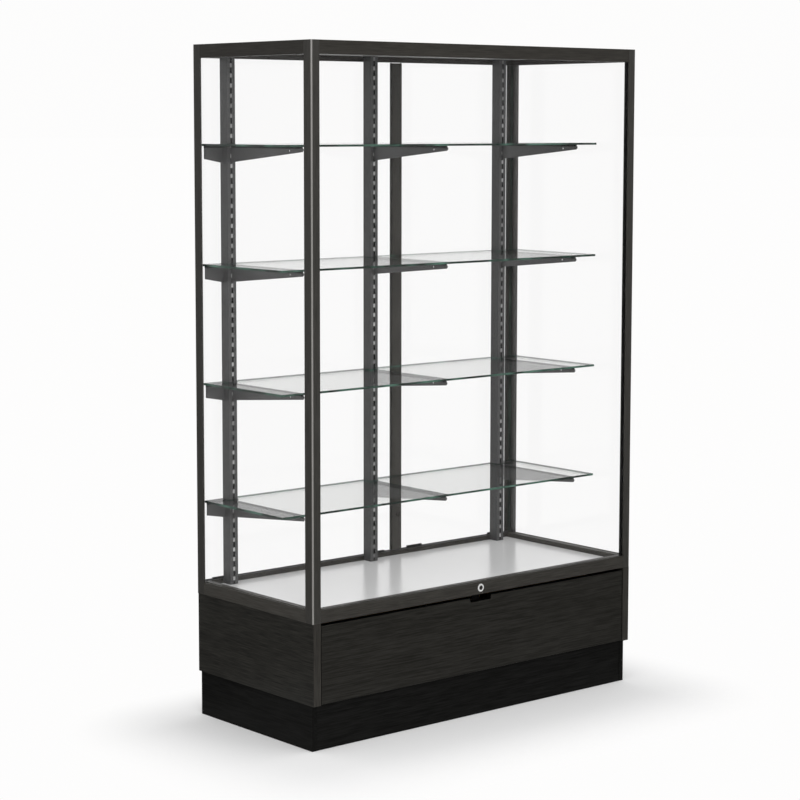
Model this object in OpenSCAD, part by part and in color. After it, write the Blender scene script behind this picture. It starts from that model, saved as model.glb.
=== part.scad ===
// Floor-standing glass display case with four shelf levels and a storage drawer.
// X runs along the width, Y from the front (-) to the back (+), Z up from the floor.

/* [Case] */
// Overall width
case_w = 1219; // [1000:1:1400]
// Overall depth
case_d = 533; // [500:1:600]
// Overall height
case_h = 1905; // [1860:1:2100]

/* [Plinth] */
// Height of the plinth
plinth_h = 127; // [110:1:150]
// Thickness of the plinth boards
plinth_t = 16; // [12:0.5:19]
// Setback of the plinth at each side
plinth_side_in = 8; // [4:0.5:9]
// Setback of the plinth at the front
plinth_front_in = 14; // [8:0.5:18]
// Setback of the plinth at the back
plinth_back_in = 6; // [4:0.5:10]
// Setback of the plinth front and back boards from the ends of the side boards
plinth_seam_in = 1; // [0.5:0.5:3]
// Side of the square corner blocks inside the plinth
corner_block = 50; // [45:1:70]
// Height of the corner blocks
corner_block_h = 45; // [30:1:60]
// Radius of a levelling foot's pad
foot_r = 19; // [12:0.5:22]
// Thickness of a levelling foot's pad
foot_h = 8; // [5:0.5:12]
// Radius of a levelling foot's threaded stem
foot_stem_r = 5; // [4:0.5:6]

/* [Base cabinet] */
// Height of the base cabinet between plinth and sills
base_h = 226; // [215:1:260]
// Thickness of the base's side panels
base_side_t = 25; // [22:0.5:27]
// Setback of the base from the sills at the sides and back
base_in = 2; // [1:0.5:3]
// Thickness of the base's bottom board
bottom_t = 19; // [15:0.5:22]
// Thickness of the base's back board
base_back_t = 12; // [9:0.5:15]
// Thickness of the display deck
deck_t = 22; // [16:0.5:25]
// Height of the sills' top above the deck
sill_lip = 14; // [12:0.5:20]
// Height of the cleats under the deck
cleat_h = 22; // [18:0.5:24]
// Depth of the cleats under the deck
cleat_t = 18; // [14:0.5:20]
// Radius of a cleat screw's shank
screw_r = 2; // [1.5:0.1:2.5]
// Radius of a cleat screw's head
screw_head_r = 4; // [3:0.1:4.5]
// Length of a cleat screw
screw_len = 34; // [28:1:38]

/* [Frame] */
// Depth of the sills
sill_t = 30; // [28:0.5:32]
// Height of the top rails
rail_h = 37; // [34:0.5:45]
// Depth of the top rails
rail_t = 25; // [24.5:0.5:26]
// Leg of the front corner posts along the width
post_leg_x = 27; // [24:0.5:30]
// Leg of the back corner posts along the width
back_leg_x = 24; // [20:0.5:30]
// Leg of the corner posts along the depth
post_leg_y = 33; // [30:0.5:36]
// Wall of the corner posts
post_wall = 4.5; // [3.5:0.5:4.5]
// Outer corner radius of the posts
post_round = 4; // [2:0.5:4.5]
// Thickness of the top panel
top_t = 21; // [16:0.5:21]
// Width of the rail ledge that carries the top panel
top_ledge = 11; // [6:0.5:14]

/* [Fixed glass] */
// Thickness of the fixed panes
pane_t = 5; // [4:0.5:6]
// Depth to which the panes enter sills and rails
pane_bite = 8; // [6:0.5:8]
// Gap round a fixed pane
pane_gap = 0.4; // [0.3:0.1:0.5]
// Thickness of the glazing beads
bead_t = 3; // [2:0.5:3.5]
// Width of a glazing bead beyond the front post
bead_show = 7; // [2:0.5:12]

/* [Back doors] */
// Sideways place of the meeting stiles
door_meet_x = 120; // [0:1:200]
// Thickness of the door glass
door_glass_t = 4; // [3:0.5:4]
// Distance of the outer door's middle plane from the back
outer_door_in = 8.9; // [8.9:0.1:9.5]
// Distance between the two doors' middle planes
door_pitch = 7.4; // [7.4:0.1:7.6]
// Width of a meeting stile
stile_w = 37; // [28:0.5:44]
// Thickness of a meeting stile
stile_t = 6; // [5.6:0.1:6.2]
// Radius of the door lock
door_lock_r = 8; // [5:0.5:10]
// Distance that the door lock stands out from the stile
door_lock_t = 1.8; // [1:0.1:2.5]
// Height of the door lock above the deck
door_lock_up = 124; // [90:1:160]
// Length of a door's sliding shoe
shoe_len = 60; // [40:1:90]
// Depth of the lower track in the back sill
lower_track_h = 8; // [7:0.5:9]
// Depth of the upper track in the back top rail
upper_track_h = 12; // [10:0.5:13]
// Thickness of the track's ribs and floor
track_wall = 1.2; // [1:0.1:1.3]

/* [Shelf standards] */
// Width of a standard
standard_w = 28; // [26:0.5:32]
// Depth of a standard
standard_d = 34; // [30:0.5:40]
// Wall of a standard
standard_wall = 2; // [1.5:0.1:2.5]
// Distance of an end standard's middle from the case's side
standard_in = 91; // [75:1:120]
// Spacing of the slots
slot_pitch = 28; // [26:0.2:30]
// Width of a slot
slot_w = 4; // [3.8:0.1:5]
// Height of a slot
slot_h = 14; // [13:0.5:16]
// Height of the lowest slot's middle above the deck
slot_start = 31; // [28:1:50]

/* [Shelves] */
// Number of shelf levels
levels = 4; // [4:1:4]
// Slot, counted from zero at the deck, that carries the lowest brackets
first_slot = 7; // [5:1:8]
// Number of slots from one shelf level to the next
level_slots = 12; // [11:1:12]
// Thickness of a glass shelf
shelf_t = 6; // [5:0.5:10]
// Depth of a glass shelf
shelf_d = 363; // [300:1:380]
// Distance of a shelf's outer end from the case's side
shelf_end_in = 13; // [13:0.5:30]
// Gap between the two shelves of a level
shelf_seam = 2; // [1:0.5:6]
// Gap between a shelf's notch and a standard
notch_gap = 1.5; // [1:0.5:3]

/* [Brackets] */
// Thickness of a bracket plate
bracket_t = 3; // [2:0.1:3.4]
// Height of a bracket at the standard
bracket_h = 46; // [44:0.5:52]
// Height of a bracket at its tip
tip_h = 12; // [8:0.5:16]
// Reach of a bracket in front of its standard
bracket_reach = 327; // [240:1:330]
// Radius of the small hole near a bracket's tip
bracket_hole_r = 2.5; // [1.5:0.5:3]
// Height of an outrigger at its outer end
outrigger_tip_h = 34; // [24:0.5:40]
// Thickness of the cushion on a bracket
cushion_t = 2; // [1.5:0.5:3]
// Length of a cushion
cushion_len = 12; // [8:0.5:16]

/* [Drawer] */
// Thickness of the drawer front
front_t = 19; // [16:0.5:20]
// Setback of the drawer front from the base's front edges
front_in = 1; // [0.5:0.5:2]
// Gap beside the drawer front
front_side_gap = 3; // [2:0.5:4]
// Gap above the drawer front
front_top_gap = 8; // [6:0.5:10]
// Gap below the drawer front
front_low_gap = 2; // [1:0.5:4]
// Width of the finger notch
notch_w = 80; // [60:1:120]
// Depth of the finger notch
notch_h = 12; // [10:0.5:16]
// Thickness of the drawer box's boards
box_t = 12; // [10:0.5:15]
// Depth of the drawer box
box_d = 440; // [400:1:450]
// Height of the drawer box
box_h = 150; // [120:1:155]
// Height of the drawer box above the base's bottom board
box_up = 14; // [8:1:20]
// Thickness of the drawer's bottom panel
box_bottom_t = 6; // [4:0.5:8]

/* [Runners] */
// Length of the runners
runner_len = 430; // [380:1:440]
// Height of the cabinet member
runner_h = 45; // [42:0.5:46]
// Thickness of a closed runner
runner_t = 12.7; // [12.7:0.1:13.5]
// Steel thickness of the runner members
runner_wall = 1.5; // [1.2:0.1:1.6]

/* [Drawer lock] */
// Radius of the lock's front ring
ring_r = 12; // [11:0.5:13]
// Thickness of the front ring, which is let flush into the sill
ring_t = 2.5; // [1.5:0.5:3]
// Radius of the lock's barrel
barrel_r = 9.5; // [9:0.1:10]
// Radius of the turning plug
plug_r = 6.5; // [6:0.1:7]
// Running clearance of the plug in the barrel
plug_gap = 0.06; // [0.03:0.01:0.09]
// Length of the cam from the lock's axis
cam_len = 30; // [29:0.5:32]
// Width of the cam
cam_w = 14; // [10:0.5:15]

/* [Hidden] */
$fn = 48;

// Outer faces
x_out = case_w / 2;
y_front = -case_d / 2;
y_back = case_d / 2;

// Heights
base_top = plinth_h + base_h;
bottom_top = plinth_h + bottom_t;
deck_z = base_top + deck_t;
sill_top = deck_z + sill_lip;
rail_bottom = case_h - rail_h;
top_under = case_h - top_t;

// Base cabinet
base_side_out = x_out - base_in;
base_side_in = base_side_out - base_side_t;
base_back_y = y_back - base_in;
plinth_out = x_out - plinth_side_in;
plinth_inner = plinth_out - plinth_t;
plinth_y0 = y_front + plinth_front_in;
plinth_y1 = y_back - plinth_back_in;

// Fixed glass
pane_out = post_wall + pane_gap;
pane_in = pane_out + pane_t;
pane_edge = pane_in + 2 * pane_gap;
pane_z0 = sill_top - pane_bite;
pane_z1 = rail_bottom + pane_bite;

// Back doors
inner_door_in = outer_door_in + door_pitch;
door_clear = 0.3;
door_x_end = x_out - pane_in - 2.5;
track_x = x_out - pane_in - 2;
track_half = door_pitch / 2;
track_y1 = y_back - outer_door_in + track_half + track_wall / 2;
track_y0 = y_back - inner_door_in - track_half - track_wall / 2;
lower_floor = sill_top - lower_track_h;
upper_roof = rail_bottom + upper_track_h;
door_z0 = lower_floor + track_wall + 4.5;
door_z1 = rail_bottom + upper_track_h / 2 + 1;
stile_z0 = sill_top + 2;
stile_z1 = rail_bottom - 2;
stile_grip = 3;

// Standards, shelves and brackets
standard_y1 = y_back - inner_door_in - stile_t / 2 - door_lock_t - 1.1;
standard_y0 = standard_y1 - standard_d;
back_sill_t = y_back - standard_y1 - 0.2;
standard_xs = [-x_out + standard_in, 0, x_out - standard_in];
slot_count = floor((top_under - deck_z - slot_start - slot_h) / slot_pitch) + 1;
function slot_z(k) = deck_z + slot_start + k * slot_pitch;
hook_drop = 12;
function bracket_top(level) = slot_z(first_slot + (levels - level) * level_slots) + hook_drop;
function shelf_z(level) = bracket_top(level) + cushion_t;
shelf_y1 = standard_y1 - 1.5;
shelf_y0 = shelf_y1 - shelf_d;
shelf_x = x_out - shelf_end_in;

// Drawer
front_y0 = y_front + front_in;
front_y1 = front_y0 + front_t;
front_x = base_side_in - front_side_gap;
front_z0 = plinth_h + front_low_gap;
front_z1 = base_top - front_top_gap;
box_x = base_side_in - runner_t;
box_z0 = bottom_top + box_up;
box_z1 = box_z0 + box_h;
box_y1 = front_y1 + box_d;
box_bottom_z = box_z0 + 10;
groove = 5;
runner_z = box_z0 + 44;
runner_y0 = front_y1 + 4;

// Drawer lock
lock_z = base_top + (sill_top - base_top) / 2;
mortise_y0 = y_front + 13;
mortise_y1 = y_front + 26;
nut_t = 3;
cam_y0 = mortise_y0 + nut_t + 1.5;
cam_t = 2.5;
strike_t = 2;
strike_y = cam_y0 + cam_t + 3;

laminate = [0.20, 0.19, 0.17];
dark_laminate = [0.12, 0.115, 0.10];
white_laminate = [0.90, 0.91, 0.91];
glass = [0.62, 0.80, 0.74, 0.35];
grey_steel = [0.30, 0.31, 0.32];
bright_steel = [0.74, 0.75, 0.77];
birch = [0.80, 0.70, 0.54];
black_plastic = [0.09, 0.09, 0.09];
black_steel = [0.07, 0.07, 0.07];

// A box given by its low and high corners
module span(low, high) {
    translate(low) cube([high[0] - low[0], high[1] - low[1], high[2] - low[2]]);
}

// Draws its children on the left and mirrored on the right
module both_sides() {
    children();
    mirror([1, 0, 0]) children();
}

// ---- Plinth ----

module plinth_board(y0) {
    color(dark_laminate) span([-plinth_inner, y0, 0], [plinth_inner, y0 + plinth_t, plinth_h]);
}

module plinth_front() { plinth_board(plinth_y0 + plinth_seam_in); }

module plinth_back() { plinth_board(plinth_y1 - plinth_seam_in - plinth_t); }

module plinth_sides() {
    color(dark_laminate) both_sides()
        span([-plinth_out, plinth_y0, 0], [-plinth_inner, plinth_y1, plinth_h]);
}

// Draws its children at the four corners inside the plinth
module at_foot_corners() {
    x = plinth_inner - corner_block / 2;
    y0 = plinth_y0 + plinth_seam_in + plinth_t + corner_block / 2;
    y1 = plinth_y1 - plinth_seam_in - plinth_t - corner_block / 2;
    for (sx = [-x, x], y = [y0, y1]) translate([sx, y, 0]) children();
}

module corner_blocks() {
    color(birch) at_foot_corners() difference() {
        translate([-corner_block / 2, -corner_block / 2, plinth_h - corner_block_h])
            cube([corner_block, corner_block, corner_block_h]);
        translate([0, 0, plinth_h - corner_block_h - 1])
            cylinder(r = foot_stem_r + 0.1, h = corner_block_h + 2);
    }
}

module levelling_feet() {
    color(bright_steel) at_foot_corners() {
        cylinder(r1 = foot_r, r2 = foot_r * 0.8, h = foot_h);
        translate([0, 0, foot_h - 0.5]) cylinder(r = foot_stem_r * 1.7, h = 7, $fn = 6);
        cylinder(r = foot_stem_r, h = plinth_h - 4);
    }
}

// ---- Base cabinet ----

module base_sides() {
    color(laminate) both_sides() difference() {
        span([-base_side_out, y_front, plinth_h], [-base_side_in, base_back_y, base_top]);
        at_side_screws() cleat_screw(0.1);
    }
}

module base_bottom() {
    color(laminate)
        span([-base_side_in, front_y1 + 2, plinth_h], [base_side_in, base_back_y, bottom_top]);
}

module base_back() {
    color(laminate) span([-base_side_in, base_back_y - base_back_t, bottom_top],
        [base_side_in, base_back_y, base_top]);
}

module deck_cleats() {
    z0 = base_top - cleat_h;
    y1 = base_back_y - base_back_t;
    color(birch) {
        both_sides() difference() {
            span([-base_side_in, front_y1 + 60, z0],
                [-base_side_in + cleat_t, y1 - cleat_t, base_top]);
            at_side_screws() cleat_screw(0.1);
        }
        span([-base_side_in, y1 - cleat_t, z0], [base_side_in, y1, base_top]);
    }
}

// A countersunk screw along -X, with its head's face at the origin
module cleat_screw(gap) {
    rotate([0, -90, 0]) {
        translate([0, 0, gap > 0 ? -1 : 0]) cylinder(r = screw_r + gap, h = screw_len + (gap > 0 ? 1 : 0));
        cylinder(r1 = screw_head_r + gap, r2 = screw_r + gap, h = screw_head_r);
    }
}

module at_side_screws() {
    y0 = front_y1 + 60;
    y1 = base_back_y - base_back_t - cleat_t;
    for (k = [0 : 2])
        translate([-base_side_in + cleat_t, y0 + (y1 - y0) * (1 + 2 * k) / 6, base_top - cleat_h / 2])
            children();
}

module cleat_screws() {
    color(bright_steel) both_sides() at_side_screws() cleat_screw(0);
}

module deck() {
    gap = 0.2;
    color(white_laminate) span([-x_out + sill_t + gap, y_front + sill_t + gap, base_top],
        [x_out - sill_t - gap, y_back - back_sill_t - gap, deck_z]);
}

// ---- Posts ----

// An angle with its corner at the origin, a rounded outer corner and legs along +X and +Y
module post_profile(leg_x, leg_y) {
    translate([post_round, 0]) square([leg_x - post_round, post_wall]);
    translate([0, post_round]) square([post_wall, leg_y - post_round]);
    intersection() {
        translate([post_round, post_round]) circle(r = post_round);
        square([post_round, post_round]);
    }
}

// The square-cornered angle that sills and rails leave free for a post
module post_room(leg_x, leg_y) {
    square([leg_x, post_wall]);
    square([post_wall, leg_y]);
}

// A corner post: sx and sy are -1 or 1 for the side on which it stands
module post(sx, sy, room = false) {
    leg_x = sy < 0 ? post_leg_x : back_leg_x;
    extra = room ? 1 : 0;
    translate([sx * x_out, sy * case_d / 2, base_top - extra])
        mirror([sx > 0 ? 1 : 0, 0, 0]) mirror([0, sy > 0 ? 1 : 0, 0])
            linear_extrude(height = case_h - base_top + 2 * extra)
                if (room) post_room(leg_x, post_leg_y); else post_profile(leg_x, post_leg_y);
}

module all_posts() {
    for (sx = [-1, 1], sy = [-1, 1]) post(sx, sy, true);
}

module front_left_post() { color(laminate) post(-1, -1); }

module front_right_post() { color(laminate) post(1, -1); }

module back_left_post() { color(laminate) post(-1, 1); }

module back_right_post() { color(laminate) post(1, 1); }

// ---- Fixed glass, drawn larger by a gap where a groove is cut ----

module front_pane(gap) {
    x = x_out - pane_edge;
    span([-x - gap, y_front + pane_out - gap, pane_z0 - gap],
        [x + gap, y_front + pane_in + gap, pane_z1 + gap]);
}

module side_pane(gap) {
    span([-x_out + pane_out - gap, y_front + pane_edge - gap, pane_z0 - gap],
        [-x_out + pane_in + gap, y_back - pane_edge + gap, pane_z1 + gap]);
}

module pane_grooves() {
    front_pane(pane_gap);
    both_sides() {
        side_pane(pane_gap);
        span([-x_out + post_wall, y_front + post_wall, pane_z0 - pane_gap],
            [-x_out + pane_edge + 1, y_front + pane_edge + 1, pane_z1 + pane_gap]);
    }
}

module front_glass() { color(glass) front_pane(0); }

module side_glass() { color(glass) both_sides() side_pane(0); }

// Angle beads that hold the front corner of the panes against the posts
module glazing_beads() {
    x0 = -x_out + pane_in + 0.3;
    y0 = y_front + pane_in + 0.3;
    color(black_plastic) both_sides() difference() {
        span([x0, y0, sill_top], [-x_out + post_leg_x + bead_show, y_front + post_leg_y - 1, rail_bottom]);
        span([x0 + bead_t, y0 + bead_t, sill_top - 1],
            [-x_out + post_leg_x + bead_show + 1, y_front + post_leg_y, rail_bottom + 1]);
    }
}

// ---- Sills ----

module cross_sill(y0, depth) {
    difference() {
        span([-x_out, y0, base_top], [x_out, y0 + depth, sill_top]);
        all_posts();
        pane_grooves();
        children();
    }
}

module front_sill() {
    color(laminate) cross_sill(y_front, sill_t) {
        along_lock(y_front - 1) cylinder(r = barrel_r + 0.1, h = 20);
        along_lock(y_front - 1) cylinder(r = ring_r + 0.1, h = ring_t + 1);
        span([-barrel_r - 7, mortise_y0, base_top - 1], [cam_len + 4, mortise_y1, lock_z + ring_r + 1]);
    }
}

module back_sill() {
    x = track_x + 0.2;
    color(laminate) cross_sill(y_back - back_sill_t, back_sill_t)
        span([-x, track_y0 - 0.2, lower_floor], [x, track_y1 + 0.2, sill_top + 1]);
}

module side_sills() {
    color(laminate) both_sides() difference() {
        span([-x_out, y_front + sill_t, base_top], [-x_out + sill_t, y_back - back_sill_t, sill_top]);
        all_posts();
        pane_grooves();
    }
}

// ---- Top ----

module top_volume(gap) {
    x = x_out - rail_t + top_ledge;
    y = case_d / 2 - rail_t + top_ledge;
    span([-x - gap, -y - gap, top_under], [x + gap, y + gap, case_h]);
}

module cross_rail(y0, depth) {
    difference() {
        span([-x_out, y0, rail_bottom], [x_out, y0 + depth, case_h]);
        all_posts();
        pane_grooves();
        translate([0, 0, 0.01]) top_volume(0.2);
        top_volume(0.2);
        children();
    }
}

module top_front_rail() { color(laminate) cross_rail(y_front, rail_t); }

module top_back_rail() {
    x = track_x + 0.2;
    color(laminate) cross_rail(y_back - back_sill_t, back_sill_t)
        span([-x, track_y0 - 0.2, rail_bottom - 1], [x, track_y1 + 0.2, upper_roof]);
}

module top_side_rails() {
    color(laminate) both_sides() difference() {
        span([-x_out, y_front + rail_t, rail_bottom], [-x_out + rail_t, y_back - back_sill_t, case_h]);
        all_posts();
        pane_grooves();
        top_volume(0.2);
        translate([0, 0, 0.01]) top_volume(0.2);
    }
}

module top_panel() { color(laminate) top_volume(0); }

// ---- Door tracks ----

// Three ribs on a floor, opening upwards, with the floor's underside at z = 0
module track(height) {
    span([-track_x, track_y0, 0], [track_x, track_y1, track_wall]);
    for (k = [0 : 2])
        translate([0, track_y0 + k * door_pitch, 0])
            span([-track_x, 0, 0], [track_x, track_wall, height]);
}

module door_tracks() {
    color(bright_steel) {
        translate([0, 0, lower_floor]) track(lower_track_h);
        translate([0, 0, upper_roof]) mirror([0, 0, 1]) track(upper_track_h);
    }
}

// ---- Back doors: d is the distance of the door's middle plane from the back ----

module door_pane(x0, x1, d) {
    color(glass) span([x0, y_back - d - door_glass_t / 2, door_z0],
        [x1, y_back - d + door_glass_t / 2, door_z1]);
}

// A U-section over the glass edge; open is the side on which the glass leaves it
module door_stile(d, open) {
    low = door_meet_x - stile_w / 2;
    high = door_meet_x + stile_w / 2;
    color(laminate) difference() {
        span([low, y_back - d - stile_t / 2, stile_z0], [high, y_back - d + stile_t / 2, stile_z1]);
        span([open < 0 ? low - 1 : low + stile_grip, y_back - d - door_glass_t / 2 - 0.1, stile_z0 - 1],
            [open < 0 ? high - stile_grip : high + 1, y_back - d + door_glass_t / 2 + 0.1, stile_z1 + 1]);
    }
}

// Two shoes that carry the glass in the lower track
module door_shoes(x0, x1, d) {
    half = door_pitch / 2 - track_wall / 2 - door_clear;
    z0 = lower_floor + track_wall + door_clear;
    color(black_plastic) for (x = [x0 + 30, x1 - 30 - shoe_len]) difference() {
        span([x, y_back - d - half, z0], [x + shoe_len, y_back - d + half, sill_top + 6]);
        span([x - 1, y_back - d - door_glass_t / 2 - 0.1, door_z0],
            [x + shoe_len + 1, y_back - d + door_glass_t / 2 + 0.1, sill_top + 7]);
    }
}

left_glass_x1 = door_meet_x + stile_w / 2 - stile_grip - 0.2;
right_glass_x0 = door_meet_x - stile_w / 2 + stile_grip + 0.2;

module left_door_glass() { door_pane(-door_x_end, left_glass_x1, inner_door_in); }

module left_door_stile() { door_stile(inner_door_in, -1); }

module left_door_shoes() {
    door_shoes(-door_x_end, door_meet_x - stile_w / 2, inner_door_in);
}

module right_door_glass() { door_pane(right_glass_x0, door_x_end, outer_door_in); }

module right_door_stile() { door_stile(outer_door_in, 1); }

module right_door_shoes() {
    door_shoes(door_meet_x + stile_w / 2, door_x_end, outer_door_in);
}

// A round lock face on the inner side of the left door's stile
module door_lock() {
    y = y_back - inner_door_in - stile_t / 2;
    color(grey_steel) translate([door_meet_x + 6, y, deck_z + door_lock_up]) rotate([90, 0, 0])
        difference() {
            cylinder(r = door_lock_r, h = door_lock_t);
            translate([-0.8, -3.5, door_lock_t / 2]) cube([1.6, 7, 2]);
        }
}

// ---- Standards ----

module standard(x) {
    w = standard_w / 2;
    color(grey_steel) difference() {
        span([x - w, standard_y0, deck_z], [x + w, standard_y1, top_under]);
        span([x - w + standard_wall, standard_y0 + standard_wall, deck_z - 1],
            [x + w - standard_wall, standard_y1 - standard_wall, top_under + 1]);
        for (k = [0 : slot_count - 1])
            span([x - slot_w / 2, standard_y0 - 1, slot_z(k) - slot_h / 2],
                [x + slot_w / 2, standard_y0 + standard_wall + 1, slot_z(k) + slot_h / 2]);
    }
}

module left_standard() { standard(standard_xs[0]); }

module middle_standard() { standard(standard_xs[1]); }

module right_standard() { standard(standard_xs[2]); }

// Plugs that hold each standard to the deck and to the top panel
module standard_plugs() {
    w = standard_w / 2 - standard_wall - 0.3;
    y0 = standard_y0 + standard_wall + 0.3;
    y1 = standard_y1 - standard_wall - 0.3;
    h = slot_start - slot_h / 2 - 2;
    color(black_plastic) for (x = standard_xs) {
        span([x - w, y0, deck_z], [x + w, y1, deck_z + h]);
        span([x - w, y0, top_under - h], [x + w, y1, top_under]);
    }
}

// ---- Brackets ----

// Side outline with the top of the root at the origin and the tip towards -X
module bracket_outline(reach) {
    root_r = 8;
    polygon([[0, 0], [-reach + 4, 0], [-reach, -4], [-reach, -tip_h + 4], [-reach + 4, -tip_h],
        [-root_r, -bracket_h + root_r * 0.35], [-root_r * 0.3, -bracket_h + root_r * 0.1 - 2],
        [0, -bracket_h - 2]]);
}

// Hooks that pass through two slots and drop behind the standard's wall
module bracket_hooks() {
    drop = standard_wall + 0.4;
    for (k = [0, 1]) translate([0, -hook_drop - k * slot_pitch]) {
        translate([-0.3, -slot_h / 2 + 0.2]) square([drop + 3.3, 9]);
        translate([drop, -slot_h / 2 - 4]) square([3, 10]);
    }
}

module bracket(x, level) {
    translate([x + bracket_t / 2, standard_y0 - 0.2, bracket_top(level)]) rotate([90, 0, -90])
        mirror([1, 0, 0]) linear_extrude(height = bracket_t) {
            difference() {
                bracket_outline(bracket_reach);
                translate([-bracket_reach + 60, -9]) circle(r = bracket_hole_r, $fn = 24);
            }
            bracket_hooks();
        }
}

// A plate on the outer side of an end standard, under the overhanging shelf end
module outrigger(level) {
    x1 = -x_out + standard_in - standard_w / 2;
    reach = standard_in - standard_w / 2 - shelf_end_in - 1;
    y = standard_y1 - 9;
    translate([x1, y, bracket_top(level)]) rotate([90, 0, 0])
        linear_extrude(height = bracket_t)
            polygon([[0, 0], [-reach, 0], [-reach, -outrigger_tip_h], [0, -bracket_h]]);
}

module left_brackets() {
    color(grey_steel) for (level = [1 : levels]) {
        bracket(standard_xs[0], level);
        outrigger(level);
    }
}

module middle_brackets() {
    color(grey_steel) for (level = [1 : levels]) bracket(standard_xs[1], level);
}

module right_brackets() {
    color(grey_steel) for (level = [1 : levels]) {
        bracket(standard_xs[2], level);
        mirror([1, 0, 0]) outrigger(level);
    }
}

// A saddle over a bracket's top edge
module cushion(x, y, level) {
    w = bracket_t / 2 + 2.5;
    z = bracket_top(level);
    difference() {
        span([x - w, y, z - 5], [x + w, y + cushion_len, z + cushion_t]);
        span([x - bracket_t / 2 - 0.1, y - 1, z - 6],
            [x + bracket_t / 2 + 0.1, y + cushion_len + 1, z]);
    }
}

// A saddle over an outrigger's top edge
module outrigger_cushion(level) {
    x = -x_out + standard_in - standard_w / 2 - 12;
    y = standard_y1 - 9;
    z = bracket_top(level);
    difference() {
        span([x - cushion_len, y - bracket_t - 2.5, z - 5], [x, y + 2.5, z + cushion_t]);
        span([x - cushion_len - 1, y - bracket_t - 0.1, z - 6], [x + 1, y + 0.1, z]);
    }
}

module shelf_cushions() {
    color(black_plastic) for (level = [1 : levels]) {
        for (k = [0 : 2]) {
            cushion(standard_xs[k], standard_y0 - bracket_reach + 24, level);
            cushion(standard_xs[k], standard_y0 - 60, level);
        }
        both_sides() outrigger_cushion(level);
    }
}

// ---- Shelves ----

// The left shelf of a level, notched round the end standard and the middle one
module left_shelf(level) {
    w = standard_w / 2 + notch_gap;
    z = shelf_z(level);
    color(glass) difference() {
        span([-shelf_x, shelf_y0, z], [-shelf_seam / 2, shelf_y1, z + shelf_t]);
        for (x = [standard_xs[0], standard_xs[1]])
            span([x - w, standard_y0 - notch_gap, z - 1], [x + w, shelf_y1 + 1, z + shelf_t + 1]);
    }
}

module right_shelf(level) { mirror([1, 0, 0]) left_shelf(level); }

module shelf_1_left() { left_shelf(1); }

module shelf_1_right() { right_shelf(1); }

module shelf_2_left() { left_shelf(2); }

module shelf_2_right() { right_shelf(2); }

module shelf_3_left() { left_shelf(3); }

module shelf_3_right() { right_shelf(3); }

module shelf_4_left() { left_shelf(4); }

module shelf_4_right() { right_shelf(4); }

// ---- Drawer ----

module drawer_front() {
    r = 5;
    x = notch_w / 2;
    z = front_z1 - notch_h;
    color(laminate) difference() {
        span([-front_x, front_y0, front_z0], [front_x, front_y1, front_z1]);
        span([-x, front_y0 - 1, z + r], [x, front_y1 + 1, front_z1 + 1]);
        span([-x + r, front_y0 - 1, z], [x - r, front_y1 + 1, front_z1 + 1]);
        for (s = [-1, 1]) translate([s * (x - r), front_y0 - 1, z + r]) rotate([-90, 0, 0])
            cylinder(r = r, h = front_t + 2);
    }
}

// The groove that holds the drawer's bottom panel, 0.2 mm wider than the panel
module bottom_groove() {
    x = box_x - box_t + groove + 0.2;
    span([-x, front_y1 - 1, box_bottom_z - 0.2], [x, box_y1 + 1, box_bottom_z + box_bottom_t + 0.2]);
}

module drawer_sides() {
    color(birch) both_sides() difference() {
        span([-box_x, front_y1, box_z0], [-box_x + box_t, box_y1, box_z1]);
        bottom_groove();
    }
}

module drawer_back() {
    x = box_x - box_t;
    color(birch) span([-x, box_y1 - box_t, box_bottom_z + box_bottom_t + 0.2], [x, box_y1, box_z1]);
}

module drawer_bottom() {
    x = box_x - box_t + groove;
    color(white_laminate) span([-x, front_y1, box_bottom_z], [x, box_y1, box_bottom_z + box_bottom_t]);
}

// A stepped plate behind the drawer front, with a lip that the cam drops in front of
module drawer_strike() {
    low = front_z1 - notch_h - 6;
    w = cam_w / 2 + 7;
    color(black_steel) {
        span([-w, front_y1, low - 24], [w, front_y1 + strike_t, low]);
        span([-w, front_y1, low - strike_t], [w, strike_y + strike_t, low]);
        span([-w, strike_y, low - strike_t], [w, strike_y + strike_t, base_top - 4]);
    }
}

// ---- Runners: sections with x from the side panel towards the drawer ----

module runner_sweep() {
    both_sides() translate([-base_side_in, runner_y0 + runner_len, runner_z]) rotate([90, 0, 0])
        linear_extrude(height = runner_len) children();
}

// A C-section: web at x0, two flanges of thickness t whose outer faces are half apart
module channel(x0, x1, half, web, t) {
    translate([x0, -half]) square([web, 2 * half]);
    for (s = [-1, 1]) translate([x0, s > 0 ? half - t : -half]) square([x1 - x0, t]);
}

runner_gap = 0.4;
middle_half = runner_h / 2 - runner_wall - runner_gap;
ball_t = 4.7;
drawer_half = middle_half - ball_t - runner_gap;

module cabinet_runners() {
    color(bright_steel) runner_sweep() channel(0, 10, runner_h / 2, runner_wall, runner_wall);
}

module middle_runners() {
    color(bright_steel) runner_sweep() channel(4, runner_t - 0.5, middle_half, runner_wall, ball_t);
}

module drawer_runners() {
    color(bright_steel) runner_sweep() {
        translate([runner_t - runner_wall, -drawer_half]) square([runner_wall, 2 * drawer_half]);
        for (s = [-1, 1]) translate([6.5, s > 0 ? drawer_half - 3.5 : -drawer_half])
            square([runner_t - 6.5, 3.5]);
    }
}

// ---- Drawer lock: turned parts along +Y from the sill's face ----

module along_lock(y) {
    translate([0, y, lock_z]) rotate([-90, 0, 0]) children();
}

module lock_barrel() {
    color(bright_steel) difference() {
        union() {
            along_lock(y_front) cylinder(r1 = ring_r - 1, r2 = ring_r, h = ring_t);
            along_lock(y_front) cylinder(r = barrel_r, h = mortise_y0 + nut_t + 0.5 - y_front);
            along_lock(mortise_y0) cylinder(r = ring_r, h = nut_t);
        }
        along_lock(y_front - 1) cylinder(r = plug_r + plug_gap, h = 40);
    }
}

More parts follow.
